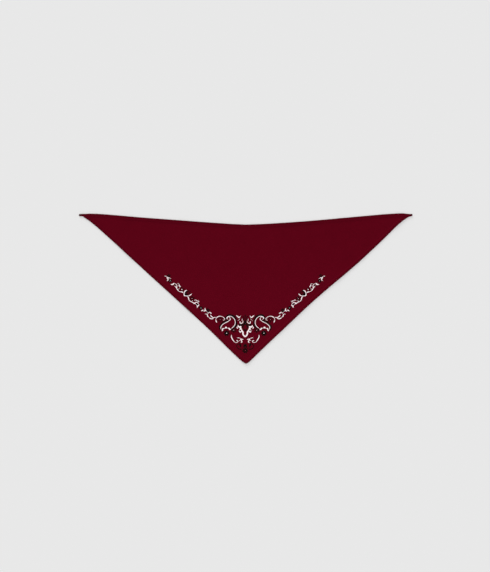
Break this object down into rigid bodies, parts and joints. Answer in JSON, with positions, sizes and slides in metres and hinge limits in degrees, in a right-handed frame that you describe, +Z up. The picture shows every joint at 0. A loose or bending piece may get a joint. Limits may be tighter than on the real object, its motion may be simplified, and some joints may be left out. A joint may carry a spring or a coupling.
{
  "type": "neckerchief",
  "caption": "Triangular printed cotton neckerchief with narrow turned-under hems and slim tip tails, laid flat with its printed face up.",
  "frame": {"origin": "on the surface the cloth lies on, under the middle of its outline", "axes": "+X from the left tip to the right tip as seen from above, +Y from the point to the neck edge, +Z up out of the printed face"},
  "size_m": [0.8, 0.36, 0.0025],
  "materials": {
    "cloth": "matte plain-woven burgundy cotton",
    "hem_cloth": "matte plain-woven burgundy cotton, turned under",
    "thread": "matte burgundy sewing thread",
    "ornament_light": "off-white ink printed into the cotton",
    "ornament_dark": "black ink printed into the cotton"
  },
  "bodies": {
    "root": {"cloth_panel": "cloth", "neck_hem": "hem_cloth", "left_side_hem": "hem_cloth", "right_side_hem": "hem_cloth"}
  },
  "joints": []
}
